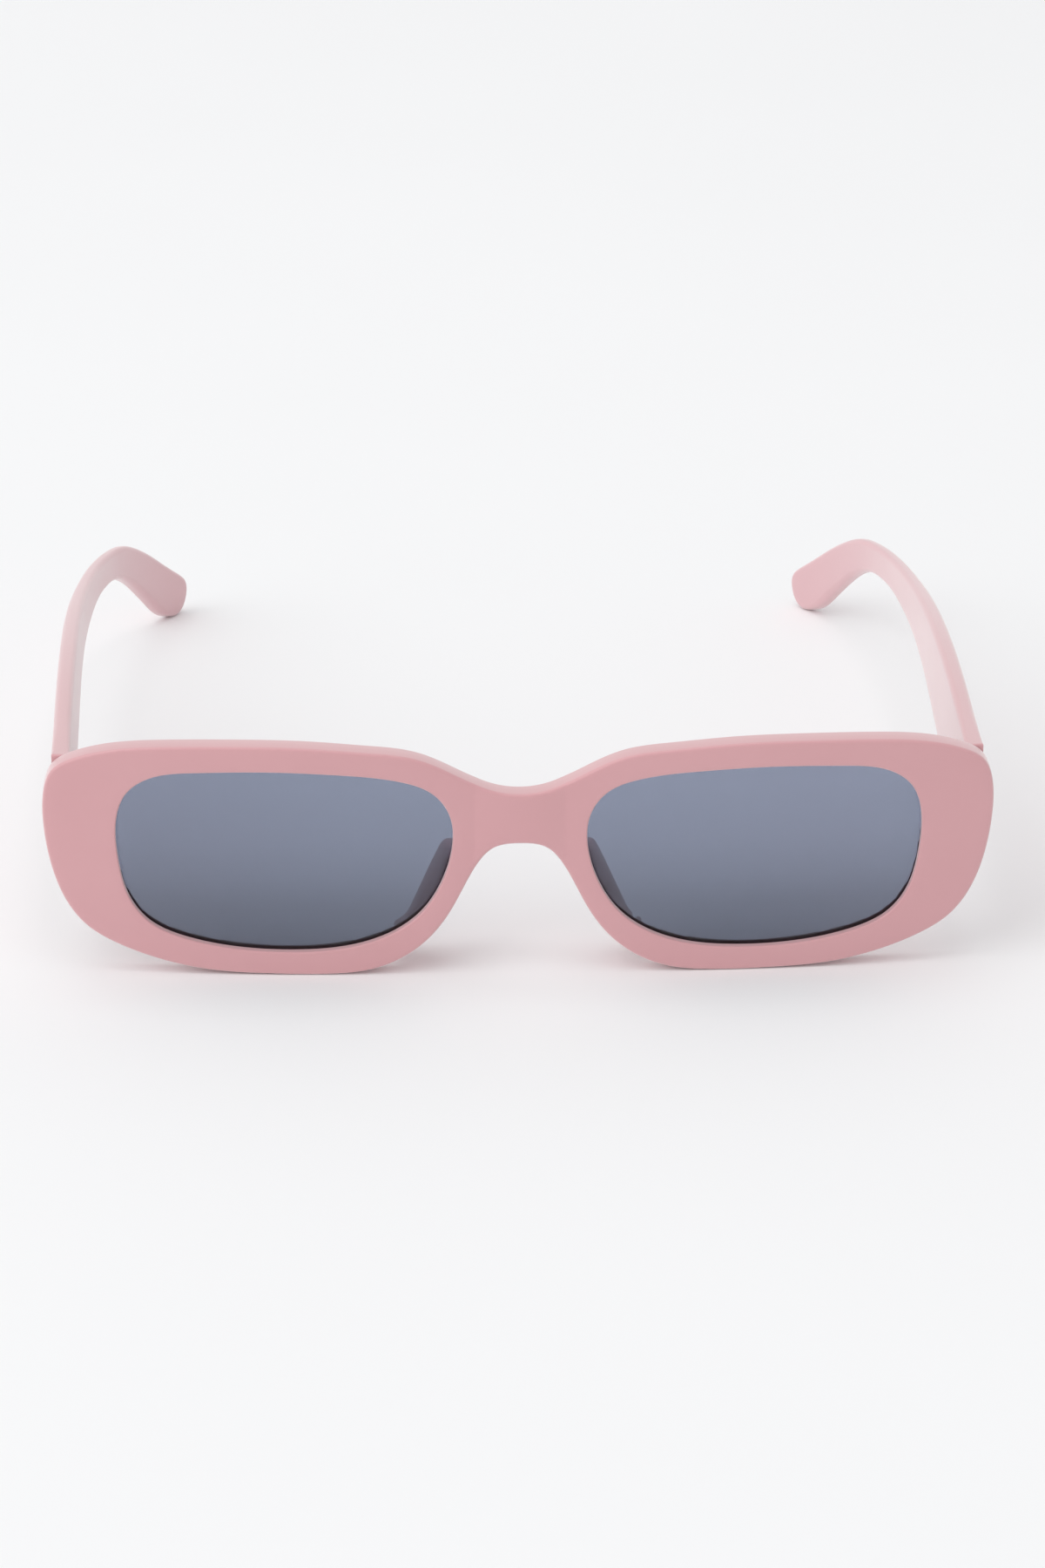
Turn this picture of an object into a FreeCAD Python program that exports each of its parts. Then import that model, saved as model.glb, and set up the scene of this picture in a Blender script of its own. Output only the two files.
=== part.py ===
import FreeCAD, Part
import os
import math
import Sketcher
from FreeCAD import Vector as V

# Narrow rectangle sunglasses, millimetres.
# x runs across the face (the picture's right is +x), y runs back along the
# temples, z is up. Everything rests on z = 0: the lower rims in front and the
# temple tips behind. The outlines below are held in a "front frame" whose y = 0
# is level with the front of the rims; y_shift moves the lot so that the origin
# is in the middle of the footprint.

doc = FreeCAD.newDocument("sunglasses")

# ---------------------------------------------------------------- sizes
sheet = doc.addObject("Spreadsheet::Sheet", "sizes")
SIZES = [
    # the front
    ("front_width", 145.0), ("front_height", 38.0), ("front_thick", 3.6),
    ("face_radius", 317.0), ("crest_x", 24.0), ("crest_y", -0.11),
    ("bridge_x", 6.9), ("bridge_rise", 0.45), ("crease_fillet", 4.0),
    ("face_edge_round", 0.5), ("opening_edge_round", 0.3),
    ("blank_tall", 90.0), ("cut_through", 60.0),
    # lenses and the groove that holds them
    ("lens_thick", 1.8), ("lens_setback", 1.1), ("lens_engage", 0.65),
    ("groove_depth", 0.70), ("groove_slack", 0.03),
    # nose pads
    ("pad_reach", 9.5),
    # temples
    ("temple_thick_front", 2.8), ("temple_thick_tip", 2.2), ("temple_gap", 0.13),
    ("core_thick", 1.0), ("core_tall", 1.6),
    # hinge: the axis of each hinge screw
    ("hinge_x", 65.2), ("hinge_y", 10.8), ("hinge_z", 24.6),
    ("knuckle_radius", 1.4), ("mid_knuckle", 2.6), ("end_knuckle", 2.0),
    ("knuckle_gap", 0.24), ("pin_radius", 0.70), ("pin_hole", 0.75),
    ("pin_head_radius", 1.15), ("pin_head_tall", 0.6),
    ("washer_thick", 0.18), ("washer_inner", 0.76), ("washer_outer", 1.3),
    ("front_leaf_wide", 4.0), ("front_leaf_tall", 12.4), ("front_leaf_thick", 0.9),
    ("front_leaf_floor", 5.15),
    ("temple_leaf_front", 9.6), ("temple_leaf_back", 21.0), ("temple_leaf_tall", 5.0),
    ("temple_leaf_thick", 0.9), ("temple_leaf_floor", 68.75), ("leaf_slack", 0.05),
    # fixing screws
    ("screw_head_radius", 0.95), ("screw_head_tall", 0.45), ("screw_radius", 0.5),
    ("front_screw_long", 1.85), ("front_screw_z", 4.9),
    ("temple_screw_long", 2.3), ("temple_screw_first", 14.4), ("temple_screw_second", 18.6),
    ("slot_wide", 0.3), ("slot_deep", 0.22),
    # the whole row of pieces slides by this so that the origin is mid-footprint
    ("y_shift", -74.295),
]
for i, (word, value) in enumerate(SIZES):
    sheet.set("A%d" % (i + 1), word)
    sheet.set("B%d" % (i + 1), "%g" % value)
    sheet.setAlias("B%d" % (i + 1), word)
doc.recompute()


def size(word):
    return float(sheet.get(word))


SX = size("front_width") / 145.0     # outlines scale with the sheet
SZ = size("front_height") / 38.0

# ---------------------------------------------------------------- outlines
# outer edge of the front, right half, from the top of the bridge round to its
# underside, as (x, z)
OUTER = [(0.0, 29.91), (5.04, 30.72), (10.52, 33.4), (15.48, 35.7), (23.32, 37.0),
         (32.45, 37.78), (42.47, 37.99), (53.77, 37.74), (61.45, 37.04), (67.42, 35.42),
         (70.89, 33.23), (72.25, 29.67), (72.42, 24.3), (71.35, 17.2), (69.21, 11.43),
         (66.1, 7.42), (61.9, 4.8), (54.08, 1.96), (47.63, 0.66), (38.64, 0.11),
         (33.6, 0.0), (29.09, 0.04), (23.01, 0.68), (17.87, 2.72), (13.81, 5.92), (10.29, 10.84),
         (6.45, 18.22), (3.98, 20.95), (0.0, 21.73)]
# edge of the right lens opening, as (x, z)
OPENING = [(61.09, 18.69), (61.24, 25.49), (59.6, 29.92), (55.9, 32.56), (49.31, 33.59),
           (38.19, 33.87), (27.69, 33.39), (18.13, 32.12), (13.35, 30.05), (10.79, 26.48),
           (10.31, 21.35), (11.98, 15.17), (15.18, 10.14), (19.87, 6.69), (26.21, 4.59),
           (34.14, 3.88), (43.27, 4.34), (51.18, 5.95), (56.49, 8.5), (59.46, 12.34)]
# outer face of the right temple seen from above, as (x, y)
TEMPLE_PLAN = [(70.92, 3.0), (71.2, 15.0), (71.6, 33.0), (71.95, 51.0), (72.13, 63.0),
               (72.22, 73.0), (72.19, 82.0), (72.04, 90.0), (71.75, 97.0), (71.3, 104.0),
               (70.67, 111.0), (69.86, 117.0), (68.87, 122.0), (67.86, 126.0),
               (66.54, 130.0), (64.92, 134.0), (63.0, 138.0), (60.77, 142.0),
               (58.24, 146.0), (55.4, 150.0), (52.7, 153.5)]
# edges of the right temple seen from the side, as (y, z)
TEMPLE_TOP = [(5.0, 34.4), (18.0, 33.75), (33.4, 32.95), (51.0, 31.5), (63.5, 30.0),
              (73.6, 28.55), (82.2, 27.2), (90.0, 25.9), (97.4, 24.65), (104.4, 23.5),
              (111.0, 22.5), (117.1, 21.6), (122.5, 20.85), (127.2, 20.1), (131.5, 19.1),
              (135.3, 17.2), (139.3, 14.4), (143.0, 11.2), (146.0, 8.5)]
TEMPLE_TIP = [(146.0, 8.5), (147.3, 7.3), (148.15, 6.3), (148.6, 5.2), (148.68, 4.15),
              (148.5, 2.95), (148.05, 1.65), (147.25, 0.55), (146.1, 0.003), (144.85, 0.3),
              (143.5, 1.0), (142.0, 2.2)]
TEMPLE_BOTTOM = [(142.0, 2.2), (140.0, 4.4), (138.0, 6.6), (136.0, 8.65), (134.0, 10.5),
                 (132.0, 12.05), (129.6, 13.5), (126.3, 14.75), (121.8, 15.5), (116.5, 16.0),
                 (110.4, 16.35), (103.7, 16.65), (96.6, 16.95), (89.2, 17.15),
                 (81.3, 17.25), (72.7, 17.25), (62.8, 17.05), (50.5, 16.65),
                 (33.4, 15.65), (18.0, 15.15), (5.0, 14.9)]
# middle line of the metal strip inside the temple, as (y, z)
CORE_LINE = [(3.0, 19.6), (20.0, 19.7), (50.0, 21.0), (75.0, 21.1), (95.0, 20.4),
             (112.0, 19.2), (124.0, 17.9), (130.5, 16.4), (134.8, 13.7), (138.4, 10.4),
             (142.0, 6.9)]
# nose pad outlines at three depths behind the rims, as (x, z): the pad grows
# out of the rim beside the bridge and flares outward as it goes back
PAD_ROOT = [(6.9, 18.1), (8.0, 16.0), (9.4, 13.3), (11.2, 10.3), (13.6, 7.3), (16.4, 4.9),
            (18.9, 4.1), (19.3, 5.3), (17.6, 7.1), (15.3, 9.1), (13.3, 11.7), (11.7, 14.8),
            (10.6, 18.0), (9.6, 19.6), (8.2, 19.6)]
PAD_MIDDLE = [(8.3, 18.1), (9.3, 15.9), (10.6, 13.2), (12.2, 10.1), (14.3, 7.0), (16.9, 4.4),
              (19.3, 3.5), (19.9, 4.6), (18.3, 6.3), (16.4, 8.6), (14.8, 11.6), (13.2, 14.9),
              (12.0, 17.9), (10.9, 19.4), (9.5, 19.5)]
PAD_REAR = [(9.9, 17.9), (10.8, 15.9), (11.9, 13.0), (13.2, 9.9), (14.9, 6.9), (17.0, 4.4),
            (18.7, 3.6), (19.2, 4.3), (17.7, 5.9), (16.3, 8.3), (15.0, 11.5), (13.6, 14.9),
            (12.4, 17.4), (11.4, 18.8), (10.4, 19.0)]


# ---------------------------------------------------------------- helpers
def open_curve(points):
    c = Part.BSplineCurve()
    c.interpolate([V(a, b, 0) for a, b in points])
    return c


def closed_curve(points):
    c = Part.BSplineCurve()
    c.interpolate([V(a, b, 0) for a, b in points], PeriodicFlag=True)
    return c


def split_up(curve, parts):
    """The same curve as several shorter ones, end to end."""
    first, last = curve.FirstParameter, curve.LastParameter
    length = curve.length(first, last)
    cuts = [curve.parameterAtDistance(length * i / parts, first) for i in range(parts)] + [last]
    out = []
    for a, b in zip(cuts, cuts[1:]):
        c = curve.copy()
        c.segment(a, b)
        out.append(c)
    return out


def line(a, b):
    return Part.LineSegment(V(a[0], a[1], 0), V(b[0], b[1], 0))


def arc(centre, radius, start, end):
    """Arc from start to end (both on the circle), the short way round."""
    a0 = math.atan2(start[1] - centre[1], start[0] - centre[0])
    a1 = math.atan2(end[1] - centre[1], end[0] - centre[0])
    mid = 0.5 * (a0 + a1)
    if abs(a0 - a1) > math.pi:
        mid += math.pi
    m = (centre[0] + radius * math.cos(mid), centre[1] + radius * math.sin(mid))
    return Part.Arc(V(start[0], start[1], 0), V(m[0], m[1], 0), V(end[0], end[1], 0))


def sampled(curve, count, offset=0.0, closed=False):
    """Points along a curve, moved sideways (to the right of its direction)."""
    first, last = curve.FirstParameter, curve.LastParameter
    steps = count if closed else count - 1
    length = curve.length(first, last)
    out = []
    for i in range(count):
        u = curve.parameterAtDistance(length * i / steps, first)
        p = curve.value(u)
        t = curve.tangent(u)[0]
        out.append((p.x + offset * t.y, p.y - offset * t.x))
    return out


def new_body(name, at_hinge=False):
    body = doc.addObject("PartDesign::Body", name)
    if at_hinge:
        body.setExpression("Placement.Base.x", "sizes.hinge_x")
        body.setExpression("Placement.Base.y", "sizes.hinge_y + sizes.y_shift")
        body.setExpression("Placement.Base.z", "sizes.hinge_z")
    else:
        body.setExpression("Placement.Base.y", "sizes.y_shift")
    return body


def new_sketch(body, name, plane, offset=None):
    """Sketch on one of the body's own planes; offset is along the plane's normal."""
    sk = body.newObject("Sketcher::SketchObject", name)
    for f in body.Origin.OriginFeatures:
        if f.Role == plane:
            sk.AttachmentSupport = [(f, "")]
    sk.MapMode = "FlatFace"
    if offset:
        sk.setExpression("AttachmentOffset.Base.z", offset)
    return sk


def add_pad(body, sk, name, length, both_ways=False, reverse=False):
    p = body.newObject("PartDesign::Pad", name)
    p.Profile = sk
    p.Type = "Length"
    p.setExpression("Length", length)
    p.SideType = "Symmetric" if both_ways else "One side"
    p.Reversed = reverse
    sk.Visibility = False
    return p


def add_pocket(body, sk, name, length, both_ways=False, reverse=False):
    p = body.newObject("PartDesign::Pocket", name)
    p.Profile = sk
    p.Type = "Length"
    p.setExpression("Length", length)
    p.SideType = "Symmetric" if both_ways else "One side"
    p.Reversed = reverse
    sk.Visibility = False
    return p


def add_circle(sk, centre, radius_word, radius_value):
    g = sk.addGeometry(Part.Circle(V(centre[0], centre[1], 0), V(0, 0, 1), radius_value), False)
    k = sk.addConstraint(Sketcher.Constraint("Radius", g, radius_value))
    sk.setExpression("Constraints[%d]" % k, "sizes." + radius_word)
    if abs(centre[0]) < 1e-9 and abs(centre[1]) < 1e-9:
        sk.addConstraint(Sketcher.Constraint("Coincident", g, 3, -1, 1))
    else:
        sk.addConstraint(Sketcher.Constraint("DistanceX", -1, 1, g, 3, centre[0]))
        sk.addConstraint(Sketcher.Constraint("DistanceY", -1, 1, g, 3, centre[1]))
    return g


def add_rectangle(sk, x0, x1, y0, y1):
    pts = [(x0, y0), (x1, y0), (x1, y1), (x0, y1)]
    ids = [sk.addGeometry(line(pts[i], pts[(i + 1) % 4]), False) for i in range(4)]
    for i in range(4):
        sk.addConstraint(Sketcher.Constraint("Coincident", ids[i], 2, ids[(i + 1) % 4], 1))
    for i in (0, 2):
        sk.addConstraint(Sketcher.Constraint("Horizontal", ids[i]))
    for i in (1, 3):
        sk.addConstraint(Sketcher.Constraint("Vertical", ids[i]))
    return ids


def add_loop(sk, pieces):
    return [sk.addGeometry(p, False) for p in pieces]


def boolean(kind, name, base, tool):
    b = doc.addObject("Part::" + kind, name)
    b.Base = base
    b.Tool = tool
    b.Refine = True
    return b


def mirrored(source, name, base=V(0, 0, 0), normal=V(1, 0, 0)):
    m = doc.addObject("Part::Mirroring", name)
    m.Source = source
    m.Base = base
    m.Normal = normal
    return m


# ---------------------------------------------------------------- plan curves
R = size("face_radius")
CX, CY = size("crest_x"), size("crest_y")
BX = size("bridge_x")
T = size("front_thick")


def rim_y(x, back):
    """y of the rim's curved face at x, back mm behind the front face."""
    r = R - back
    return CY + R - math.sqrt(r * r - (abs(x) - CX) ** 2)


RB = BX ** 2 / (2 * size("bridge_rise"))
BRIDGE_Y = rim_y(BX, 0) - size("bridge_rise") + RB      # centre of the bridge arc


def bridge_y(x, back):
    r = RB - back
    return BRIDGE_Y - math.sqrt(r * r - x * x)


def crease(back):
    """x where the rim arc and the bridge arc meet, back mm behind the face."""
    lo, hi = 3.0, 9.5
    for _ in range(60):
        mid = 0.5 * (lo + hi)
        if rim_y(mid, back) > bridge_y(mid, back):
            lo = mid
        else:
            hi = mid
    return 0.5 * (lo + hi)


def face_curve(back, half):
    """Front-face curve moved back, from x = -half to x = +half: rim arc, small
    hollow arc, bridge arc, small hollow arc, rim arc, each tangent to the next."""
    f = size("crease_fillet")
    c0, c1 = (CX, CY + R), (0.0, BRIDGE_Y)
    r0, r1 = R + f, RB + f
    dx, dy = c1[0] - c0[0], c1[1] - c0[1]
    d = math.hypot(dx, dy)
    along = (d * d + r0 * r0 - r1 * r1) / (2 * d)
    side = math.sqrt(r0 * r0 - along * along)
    k = None
    for sign in (1, -1):
        x = c0[0] + along * dx / d - sign * side * dy / d
        y = c0[1] + along * dy / d + sign * side * dx / d
        if k is None or abs(x - BX) + abs(y + f) < abs(k[0] - BX) + abs(k[1] + f):
            k = (x, y)
    rr, rb = R - back, RB - back
    on_rim = (c0[0] + (k[0] - c0[0]) * rr / r0, c0[1] + (k[1] - c0[1]) * rr / r0)
    on_bridge = (k[0] * rb / r1, c1[1] + (k[1] - c1[1]) * rb / r1)

    def flip(p):
        return (-p[0], p[1])

    a, e = (-half, rim_y(half, back)), (half, rim_y(half, back))
    return ([arc(flip(c0), rr, a, flip(on_rim)), arc(flip(k), f + back, flip(on_rim), flip(on_bridge)),
             arc(c1, rb, flip(on_bridge), on_bridge), arc(k, f + back, on_bridge, on_rim),
             arc(c0, rr, on_rim, e)], a, e)


def face_band(rear, half):
    """Closed plan outline from the front face to a depth behind it."""
    f, a, d = face_curve(0.0, half)
    g, p, q = face_curve(rear, half)
    return f + [line(d, q)] + g[::-1] + [line(p, a)]


def rim_band(front, rear, x0, x1):
    """Closed plan outline of one rim only, between two depths and two x."""
    a, b = (x0, rim_y(x0, front)), (x1, rim_y(x1, front))
    c, d = (x1, rim_y(x1, rear)), (x0, rim_y(x0, rear))
    k = (CX, CY + R)
    return [arc(k, R - front, a, b), line(b, c), arc(k, R - rear, c, d), line(d, a)]


# ---------------------------------------------------------------- front frame
def half_outline(sign):
    """Outer edge on one side of x = 0: the curve is run two points past the
    middle at both ends and trimmed back, so that the two halves meet smoothly."""
    pts = [(-x, z) for x, z in OUTER[2:0:-1]] + OUTER + [(-x, z) for x, z in OUTER[-2:-4:-1]]
    c = open_curve([(sign * x * SX, z * SZ) for x, z in pts])
    c.segment(c.parameter(V(0, OUTER[0][1] * SZ, 0)), c.parameter(V(0, OUTER[-1][1] * SZ, 0)))
    return c


outline = split_up(half_outline(1), 6) + split_up(half_outline(-1), 6)
opening_right = closed_curve([(x * SX, z * SZ) for x, z in OPENING])
opening_left = closed_curve([(-x * SX, z * SZ) for x, z in OPENING])

blank = new_body("front_blank")
sk = new_sketch(blank, "front_plan", "XY_Plane")
add_loop(sk, face_band(T, 76.0))
add_pad(blank, sk, "front_sheet", "sizes.blank_tall", both_ways=True)

sk = new_sketch(blank, "front_outline", "XZ_Plane")
add_rectangle(sk, -90, 90, -60, 60)
add_loop(sk, outline)
add_pocket(blank, sk, "front_edge", "sizes.cut_through", both_ways=True)

sk = new_sketch(blank, "lens_openings", "XZ_Plane")
add_loop(sk, split_up(opening_right, 4) + split_up(opening_left, 4))
add_pocket(blank, sk, "front_openings", "sizes.cut_through", both_ways=True)
doc.recompute()


def edges_where(feature, test):
    shape = feature.Shape.copy()
    shape.Placement = FreeCAD.Placement()
    return ["Edge%d" % (i + 1) for i, e in enumerate(shape.Edges) if test(e)]


def follows(e, back):
    """True when the edge runs along the curved face, back mm behind the front."""
    b = e.BoundBox
    if b.XLength < 0.01:
        return False
    for k in (0.05, 0.3, 0.5, 0.7, 0.95):
        p = e.valueAt(e.FirstParameter + k * (e.LastParameter - e.FirstParameter))
        near = min(abs(p.y - rim_y(p.x, back)),
                   abs(p.y - bridge_y(p.x, back)) if abs(p.x) < 9.5 else 9.0)
        if near > (0.25 if abs(p.x) < 9.5 else 0.03):
            return False
    return True


def rounded(body, name, base, names, radius):
    f = body.newObject("PartDesign::Fillet", name)
    f.Base = (base, names)
    f.setExpression("Radius", radius)
    doc.recompute()
    return f


def on_opening(e):
    p = e.valueAt(0.5 * (e.FirstParameter + e.LastParameter))
    q = V(abs(p.x), p.z, 0)
    foot = opening_right.value(opening_right.parameter(q))
    return foot.distanceToPoint(q) < 0.05


tip = blank.Tip
tip = rounded(blank, "round_face_edge", tip,
              edges_where(tip, lambda e: follows(e, 0.0) and not on_opening(e)),
              "sizes.face_edge_round")
tip = rounded(blank, "round_rear_edge", tip,
              edges_where(tip, lambda e: follows(e, T) and not on_opening(e)),
              "sizes.face_edge_round")
tip = rounded(blank, "round_opening_face_edge", tip,
              edges_where(tip, lambda e: follows(e, 0.0) and on_opening(e)),
              "sizes.opening_edge_round")
tip = rounded(blank, "round_opening_rear_edge", tip,
              edges_where(tip, lambda e: follows(e, T) and on_opening(e)),
              "sizes.opening_edge_round")

# flat beds for the hinge leaves, in the back of the front
HX, HY, HZ = size("hinge_x"), size("hinge_y"), size("hinge_z")
LW, LT, SL = size("front_leaf_wide"), size("front_leaf_tall"), size("leaf_slack")


def leaf_slot(sk, sign, grow):
    """Round-ended upright slot the shape of the front leaf."""
    w, t = LW / 2 + grow, LT / 2 + grow
    c = sign * HX
    r = 1.2
    pts = [(c - w + r, HZ - t), (c + w - r, HZ - t), (c + w, HZ - t + r), (c + w, HZ + t - r),
           (c + w - r, HZ + t), (c - w + r, HZ + t), (c - w, HZ + t - r), (c - w, HZ - t + r)]
    k = [(c + w - r, HZ - t + r), (c + w - r, HZ + t - r), (c - w + r, HZ + t - r),
         (c - w + r, HZ - t + r)]
    add_loop(sk, [line(pts[0], pts[1]), arc(k[0], r, pts[1], pts[2]), line(pts[2], pts[3]),
                  arc(k[1], r, pts[3], pts[4]), line(pts[4], pts[5]), arc(k[2], r, pts[5], pts[6]),
                  line(pts[6], pts[7]), arc(k[3], r, pts[7], pts[0])])


sk = new_sketch(blank, "leaf_pockets", "XZ_Plane", "-sizes.front_leaf_floor")
leaf_slot(sk, 1, SL)
leaf_slot(sk, -1, SL)
add_pocket(blank, sk, "front_leaf_beds", "sizes.front_thick")

# ---------------------------------------------------------------- lens and groove
lens_edge = closed_curve(sampled(opening_right, 60, size("lens_engage"), closed=True))
groove_edge = closed_curve(sampled(opening_right, 60, size("groove_depth"), closed=True))

lens = new_body("lens_right")
lens.Label = "lens_right"
sk = new_sketch(lens, "lens_plan", "XY_Plane")
add_loop(sk, rim_band(size("lens_setback"), size("lens_setback") + size("lens_thick"), 5.0, 68.0))
add_pad(lens, sk, "lens_sheet", "sizes.blank_tall", both_ways=True)
sk = new_sketch(lens, "lens_outline", "XZ_Plane")
add_rectangle(sk, -20, 95, -60, 60)
add_loop(sk, split_up(lens_edge, 4))
add_pocket(lens, sk, "lens_edge", "sizes.cut_through", both_ways=True)

slot = new_body("lens_groove")
sk = new_sketch(slot, "groove_plan", "XY_Plane")
gs = size("groove_slack")
add_loop(sk, rim_band(size("lens_setback") - gs, size("lens_setback") + size("lens_thick") + gs,
                      5.0, 68.0))
add_pad(slot, sk, "groove_sheet", "sizes.blank_tall", both_ways=True)
sk = new_sketch(slot, "groove_outline", "XZ_Plane")
add_rectangle(sk, -20, 95, -60, 60)
add_loop(sk, split_up(groove_edge, 4))
add_pocket(slot, sk, "groove_edge", "sizes.cut_through", both_ways=True)
doc.recompute()

# ---------------------------------------------------------------- hinge (right)
# every hinge piece is drawn about the axis of the hinge screw
HALF = "(sizes.mid_knuckle / 2 + sizes.knuckle_gap + sizes.end_knuckle)"
kr = size("knuckle_radius")
plate_front = size("front_leaf_floor") - HY            # y of the leaf's front face
plate_rear = plate_front + size("front_leaf_thick")
half_tall = size("mid_knuckle") / 2 + size("knuckle_gap") + size("end_knuckle")

fleaf = new_body("front_leaf_blank", at_hinge=True)
sk = new_sketch(fleaf, "front_leaf_plate", "XZ_Plane", "sizes.hinge_y - sizes.front_leaf_floor")
w, t, r = LW / 2, LT / 2, 1.2
pts = [(-w + r, -t), (w - r, -t), (w, -t + r), (w, t - r), (w - r, t), (-w + r, t), (-w, t - r),
       (-w, -t + r)]
k = [(w - r, -t + r), (w - r, t - r), (-w + r, t - r), (-w + r, -t + r)]
add_loop(sk, [line(pts[0], pts[1]), arc(k[0], r, pts[1], pts[2]), line(pts[2], pts[3]),
              arc(k[1], r, pts[3], pts[4]), line(pts[4], pts[5]), arc(k[2], r, pts[5], pts[6]),
              line(pts[6], pts[7]), arc(k[3], r, pts[7], pts[0])])
add_pad(fleaf, sk, "front_leaf_sheet", "sizes.front_leaf_thick", reverse=True)
sk = new_sketch(fleaf, "front_knuckle_plan", "XY_Plane")
y0 = plate_rear - 0.3
add_loop(sk, [line((-kr - 0.35, y0), (kr + 0.35, y0)), line((kr + 0.35, y0), (kr, plate_rear + 0.7)),
              line((kr, plate_rear + 0.7), (kr, 0)),
              arc((0, 0), kr, (kr, 0), (0, kr)), arc((0, 0), kr, (0, kr), (-kr, 0)),
              line((-kr, 0), (-kr, plate_rear + 0.7)), line((-kr, plate_rear + 0.7), (-kr - 0.35, y0))])
add_pad(fleaf, sk, "front_knuckles", "2 * " + HALF, both_ways=True)
sk = new_sketch(fleaf, "front_knuckle_gap_plan", "XY_Plane")
add_rectangle(sk, -4, 4, plate_rear + 0.75, 4)
add_pocket(fleaf, sk, "front_knuckle_gap", "sizes.mid_knuckle + 2 * sizes.knuckle_gap",
           both_ways=True)
sk = new_sketch(fleaf, "front_pin_hole_plan", "XY_Plane")
add_circle(sk, (0, 0), "pin_hole", size("pin_hole"))
add_pocket(fleaf, sk, "front_pin_hole", "4 * " + HALF, both_ways=True)

tfloor = size("temple_leaf_floor") - HX               # x of the leaf's outer face
tplate = tfloor - size("temple_leaf_thick")
tl0, tl1 = size("temple_leaf_front") - HY, size("temple_leaf_back") - HY
tleaf = new_body("temple_leaf_blank", at_hinge=True)
sk = new_sketch(tleaf, "temple_leaf_plate", "YZ_Plane", "sizes.temple_leaf_floor - sizes.hinge_x")
w = size("temple_leaf_tall") / 2
r = 0.8
rr = 2.2
pts = [(tl0 + r, -w), (tl1 - rr, -w), (tl1, -w + rr), (tl1, w - rr), (tl1 - rr, w), (tl0 + r, w),
       (tl0, w - r), (tl0, -w + r)]
add_loop(sk, [line(pts[0], pts[1]), arc((tl1 - rr, -w + rr), rr, pts[1], pts[2]),
              line(pts[2], pts[3]), arc((tl1 - rr, w - rr), rr, pts[3], pts[4]),
              line(pts[4], pts[5]), arc((tl0 + r, w - r), r, pts[5], pts[6]), line(pts[6], pts[7]),
              arc((tl0 + r, -w + r), r, pts[7], pts[0])])
add_pad(tleaf, sk, "temple_leaf_sheet", "sizes.temple_leaf_thick", reverse=True)
sk = new_sketch(tleaf, "temple_knuckle_plan", "XY_Plane")
x0 = tplate + 0.3
add_loop(sk, [line((x0, kr + 0.35), (x0, -kr + 0.2)), line((x0, -kr + 0.2), (tplate - 0.4, -kr)),
              line((tplate - 0.4, -kr), (0, -kr)),
              arc((0, 0), kr, (0, -kr), (-kr, 0)), arc((0, 0), kr, (-kr, 0), (0, kr)),
              line((0, kr), (tplate - 0.4, kr)), line((tplate - 0.4, kr), (x0, kr + 0.35))])
add_pad(tleaf, sk, "temple_knuckle", "sizes.mid_knuckle", both_ways=True)
sk = new_sketch(tleaf, "temple_pin_hole_plan", "XY_Plane")
add_circle(sk, (0, 0), "pin_hole", size("pin_hole"))
add_pocket(tleaf, sk, "temple_pin_hole", "4 * " + HALF, both_ways=True)
doc.recompute()


def revolve(body, sk, name):
    rv = body.newObject("PartDesign::Revolution", name)
    rv.Profile = sk
    rv.ReferenceAxis = (sk, ["V_Axis"])
    rv.Angle = 360
    sk.Visibility = False
    return rv


def polygon(sk, pts):
    ids = [sk.addGeometry(line(pts[i], pts[(i + 1) % len(pts)]), False) for i in range(len(pts))]
    for i in range(len(pts)):
        sk.addConstraint(Sketcher.Constraint("Coincident", ids[i], 2, ids[(i + 1) % len(pts)], 1))
    return ids


# hinge screw: slotted cheese head on the upper knuckle, plain shank through all
pin = new_body("hinge_screw_right", at_hinge=True)
pin.Label = "hinge_screw_right"
sk = new_sketch(pin, "pin_half_section", "XZ_Plane")
pr, hr, ht = size("pin_radius"), size("pin_head_radius"), size("pin_head_tall")
polygon(sk, [(0, -half_tall - 0.15), (pr - 0.2, -half_tall - 0.15), (pr, -half_tall + 0.05),
             (pr, half_tall), (hr, half_tall), (hr, half_tall + ht - 0.25),
             (hr - 0.15, half_tall + ht - 0.08), (hr - 0.4, half_tall + ht),
             (0, half_tall + ht)])
revolve(pin, sk, "pin_turned")
sk = new_sketch(pin, "pin_slot_plan", "XY_Plane", HALF + " + sizes.pin_head_tall")
sw = size("slot_wide")
add_rectangle(sk, -3, 3, -sw / 2, sw / 2)
add_pocket(pin, sk, "pin_slot", "sizes.slot_deep")

# washers: one above and one below the middle knuckle
washer = new_body("washer_upper", at_hinge=True)
sk = new_sketch(washer, "washer_plan", "XY_Plane",
                "sizes.mid_knuckle / 2 + (sizes.knuckle_gap - sizes.washer_thick) / 2")
add_circle(sk, (0, 0), "washer_outer", size("washer_outer"))
add_circle(sk, (0, 0), "washer_inner", size("washer_inner"))
add_pad(washer, sk, "washer_ring", "sizes.washer_thick")
doc.recompute()
washer_low = mirrored(washer, "washer_lower", V(0, 0, HZ), V(0, 0, 1))
washers = doc.addObject("Part::Compound", "hinge_washers_right")
washers.Links = [washer, washer_low]
washers.Label = "hinge_washers_right"


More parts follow.
